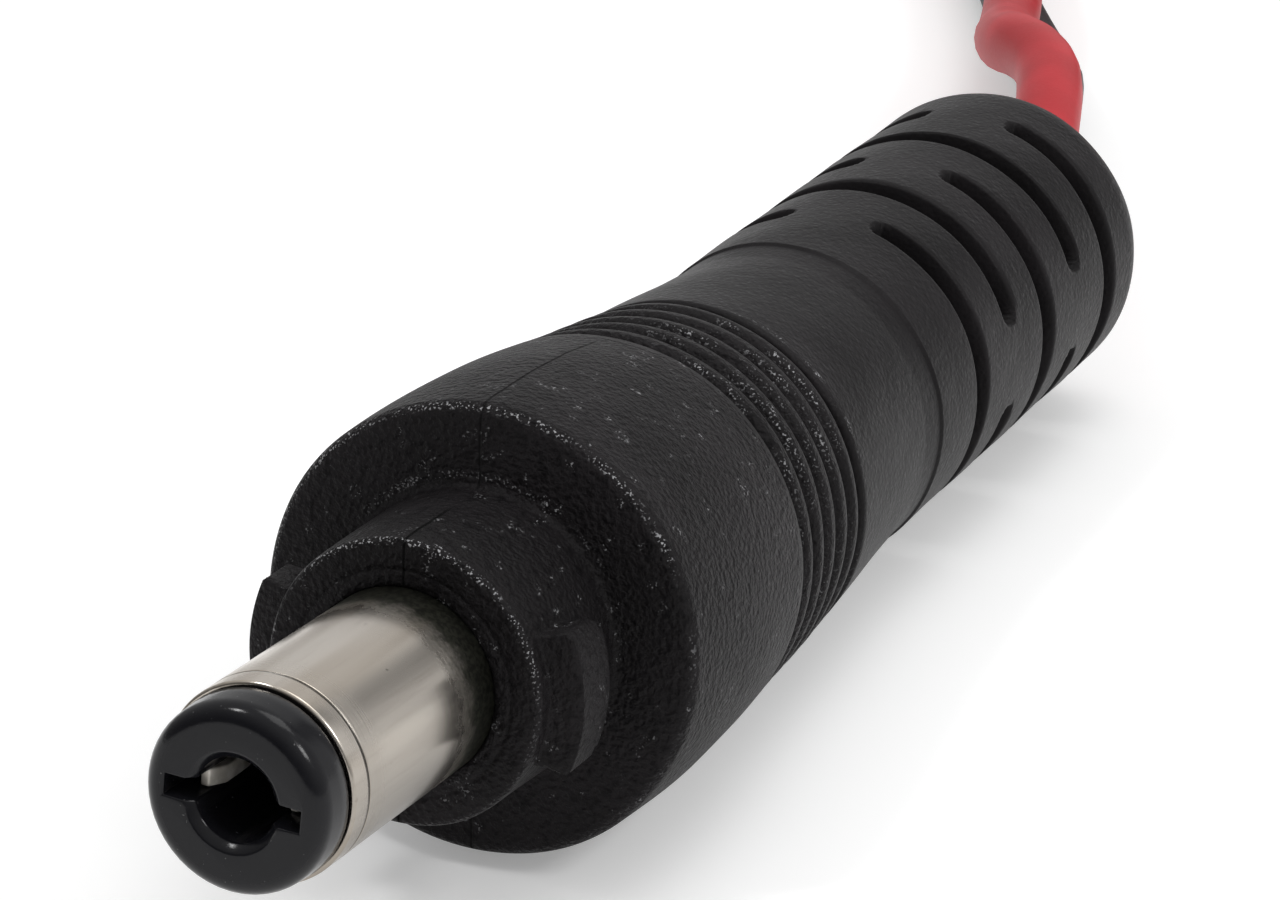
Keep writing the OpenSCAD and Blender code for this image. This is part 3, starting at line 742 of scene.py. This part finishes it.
def sleeve_nickel():
    """Satin nickel: soft streaks along it, fine marks round it, a dark mottled film beside the collar, and
    painted shade on its lower right side and along its turned line.
    """
    finish = Finish("sleeve_nickel", {"Base Color": rgb(0.52, 0.47, 0.40), "Metallic": 1.0,
                                      "Roughness": 0.2})
    place = finish.plug_place()
    x, y, z = finish.parts(place)
    broad = finish.noise(1.6, place=place, stretch=(1, 1, 0.07))
    streaks = finish.noise(0.3, 3.0, place=place, stretch=(1, 1, 0.06))
    rings = finish.noise(0.05, 1.0, place=place, stretch=(0.03, 0.03, 1))
    near_line = 1 - abs(z - (TURNED_LINE + 0.25)).ease(0.1, 1.1)
    # Painted shade: a thin dark line along the turned groove, where the groove's shade falls.
    turned_line_shade = 1 - abs(z - TURNED_LINE).ease(0.02, 0.04)
    blot = finish.noise(0.6, 4.0, 0.6, place=place)
    dust = finish.noise(0.14, place=place)
    film = (z + (blot - 0.5) * 1.3 + (dust - 0.5) * 0.6).ease(COLLAR_FACE - 2.2, COLLAR_FACE - 1)
    speck = finish.noise(0.28, 1.0, place=place).ease(0.73, 0.78) * blot.ease(0.5, 0.65)
    # Painted shade: the lower right side is darkened to tone down its bright reflection of the floor and
    # the right lamp.
    lower_right_shade = y.ease(-1.7, -0.2) * x.ease(0.4, 1.6)
    metal = finish.mix(broad.ease(0.35, 0.65), rgb(0.46, 0.41, 0.35), rgb(0.58, 0.535, 0.48))
    metal = finish.mix(streaks.ease(0.5, 0.8) * 0.3, metal, rgb(0.30, 0.26, 0.22))
    metal = finish.mix(speck * 0.7, metal, rgb(0.13, 0.11, 0.09))
    metal = finish.mix(lower_right_shade * 0.6, metal, rgb(0.18, 0.16, 0.135))
    metal = finish.mix(turned_line_shade * 0.85, metal, rgb(0.03, 0.028, 0.025))
    filmed = finish.mix(dust.ease(0.35, 0.65), rgb(0.008, 0.009, 0.007), rgb(0.035, 0.037, 0.028))
    finish.set(Base_Color=finish.mix(film * 0.97, metal, filmed))
    finish.set(Roughness=0.17 + streaks * 0.1 + near_line * rings * 0.16 + film * 0.3)
    finish.bump(rings * (0.15 + near_line * 1.2) + streaks * 0.25 + film * blot * 2.5, 0.008, 0.6)
    return finish.material


def tip_black():
    """Glossy hard plastic with faint moulding flow, a fine grain and a speck of dust here and there."""
    finish = Finish("tip_black", {"Base Color": rgb(0.008, 0.008, 0.010), "Roughness": 0.2, "IOR": 1.5,
                                  "Specular IOR Level": 0.22})
    flow = finish.noise(1.1, 3.0)
    grain = finish.noise(0.08)
    speck = finish.noise(0.1, 1.0).ease(0.76, 0.8)
    finish.set(Roughness=0.11 + flow * 0.1 + grain.ease(0.55, 0.75) * 0.1)
    base = finish.mix(flow, rgb(0.0055, 0.0055, 0.007), rgb(0.009, 0.009, 0.011))
    finish.set(Base_Color=finish.mix(speck * 0.5, base, rgb(0.2, 0.2, 0.2)))
    finish.bump(flow * 0.6 + grain * 0.35, 0.01, 0.5)
    return finish.material


def plated(name, dull, bright, rough, size, metallic=1.0):
    """Plated or cut metal with grain of the given size."""
    finish = Finish(name, {"Base Color": bright, "Metallic": metallic, "Roughness": rough})
    grain = finish.noise(size, 3.0)
    fine = finish.noise(size / 6)
    finish.set(Base_Color=finish.mix(grain.ease(0.35, 0.65), dull, bright))
    finish.set(Roughness=rough + fine * 0.12 - 0.05)
    finish.bump(grain * 0.5 + fine * 0.5, size / 40, 0.6)
    return finish.material


def moulded(name, deep, light, rough, size):
    """Plain moulded plastic with a faint grain of the given size."""
    finish = Finish(name, {"Base Color": light, "Roughness": rough, "IOR": 1.5})
    grain = finish.noise(size, 3.0)
    finish.set(Base_Color=finish.mix(grain.ease(0.3, 0.7), deep, light))
    finish.set(Roughness=rough + grain * 0.1 - 0.05)
    finish.bump(grain, size / 30, 0.4)
    return finish.material


def lead_pvc():
    """Satin insulation with a fine grain: one core in a slowly drifting red, the other black."""
    finish = Finish("lead_pvc", {"Base Color": rgb(0.36, 0.03, 0.038), "Roughness": 0.42, "IOR": 1.5,
                                 "Specular IOR Level": 0.13})
    core = Value(finish, finish.node("Attribute", {"attribute_name": "black_core"}).outputs["Fac"])
    cloud = finish.noise(3.0)
    grain = finish.noise(0.12)
    red = finish.mix(cloud.ease(0.35, 0.7), rgb(0.41, 0.021, 0.027), rgb(0.51, 0.029, 0.038))
    finish.set(Base_Color=finish.mix(core.ease(0.45, 0.55), red, rgb(0.012, 0.011, 0.012)))
    finish.set(Roughness=0.4 + grain * 0.1)
    finish.bump(grain, 0.008, 0.5)
    return finish.material


def wear(piece, material):
    """Gives a piece this one finish."""
    piece.data.materials.clear()
    piece.data.materials.append(material)


wear(moulding, black_pvc())
wear(barrel, sleeve_nickel())
wear(tip, tip_black())
wear(lead, lead_pvc())
wear(contact, plated("contact_nickel", rgb(0.66, 0.62, 0.55), rgb(0.92, 0.88, 0.82), 0.5, 0.5, 0.55))
pale = moulded("pale_plastic", rgb(0.66, 0.62, 0.54), rgb(0.78, 0.75, 0.68), 0.5, 0.8)
brass = plated("terminal_brass", rgb(0.62, 0.46, 0.2), rgb(0.8, 0.63, 0.3), 0.3, 0.6)
solder = plated("solder_tin", rgb(0.5, 0.51, 0.53), rgb(0.74, 0.75, 0.77), 0.34, 0.4)
copper = plated("copper", rgb(0.55, 0.27, 0.15), rgb(0.78, 0.42, 0.26), 0.35, 0.3)
red_plain = moulded("red_insulation", rgb(0.42, 0.036, 0.046), rgb(0.53, 0.058, 0.072), 0.4, 1.2)
black_plain = moulded("black_insulation", rgb(0.02, 0.019, 0.02), rgb(0.03, 0.029, 0.03), 0.42, 1.2)
wear(tie, moulded("tie_white", rgb(0.7, 0.7, 0.68), rgb(0.82, 0.82, 0.8), 0.45, 1.5))
for node, material in {"rear_bush": pale, "inner_mould": pale, "sleeve_terminal": brass,
                       "solder_centre": solder, "solder_sleeve": solder, "red_strands": copper,
                       "black_strands": copper, "red_core": red_plain, "black_core": black_plain,
                       "red_tinned_end": solder, "black_tinned_end": solder}.items():
    wear(frame["nodes"][node], material)

# ---------------------------------------------------------------- floor, light and background


def studio_floor():
    """Pale matte floor that glows a little to the camera and in reflections, so that it looks white."""
    reach = 1.5
    points = np.array([(-reach, -reach, 0), (reach, -reach, 0), (reach, reach, 0), (-reach, reach, 0)])
    floor = mesh_piece("floor", points, np.array([[0, 1, 2, 3]]))
    finish = Finish("floor_white", {"Base Color": rgb(0.9, 0.9, 0.9), "Roughness": 0.9,
                                    "Emission Strength": 1.0})
    rays = finish.node("LightPath")
    seen = Value(finish, rays.outputs["Is Camera Ray"]).upper(Value(finish, rays.outputs["Is Glossy Ray"]))
    finish.set(Emission_Color=finish.mix(seen, rgb(0, 0, 0), rgb(0.25, 0.25, 0.25)))
    wear(floor, finish.material)


def studio_world():
    """Soft light from above, behind and the right, dim in front, with a dimmer strip at the back right."""
    world = bpy.data.worlds.new("studio")
    bpy.context.scene.world = world
    sky = Tree(world)
    x, y, z = sky.parts(sky.node("TexCoord").outputs["Generated"])
    level = (x * 0.28 + y * 0.6 + z * 0.7).ease(-0.6, 0.75, 0.08, 0.79)
    strip = (1 - abs(x - 0.34).ease(0.05, 0.2)) * y.ease(0.4, 0.7)
    rays = sky.node("LightPath")
    seen = Value(sky, rays.outputs["Is Camera Ray"]).upper(Value(sky, rays.outputs["Is Transmission Ray"]))
    background = sky.tree.nodes["Background"]
    sky.feed(background.inputs["Color"], rgb(1, 1, 1))
    sky.feed(background.inputs["Strength"], (level * (1 - strip * 0.6)).upper(seen))


def soft_light(name, place, target, side, power):
    """Square lamp turned to a target, its place, target and side in millimetres and its power in watts."""
    data = bpy.data.lights.new(name, "AREA")
    data.shape = "SQUARE"
    data.size = side * MM
    data.energy = power
    lamp = bpy.data.objects.new(name, data)
    lamp.location = Vector(place) * MM
    lamp.rotation_euler = (Vector(target) - Vector(place)).to_track_quat("-Z", "Y").to_euler()
    bpy.context.scene.collection.objects.link(lamp)


studio_floor()
studio_world()
soft_light("right_light", (200, -60, 190), (0, 0, 5), 64, 0.17)
soft_light("top_light", (60, 60, 300), (0, 0, 5), 160, 0.2)
soft_light("front_light", (-115, -95, 265), (0, -20, 8), 42, 0.14)

bpy.context.scene.view_settings.view_transform = "Standard"
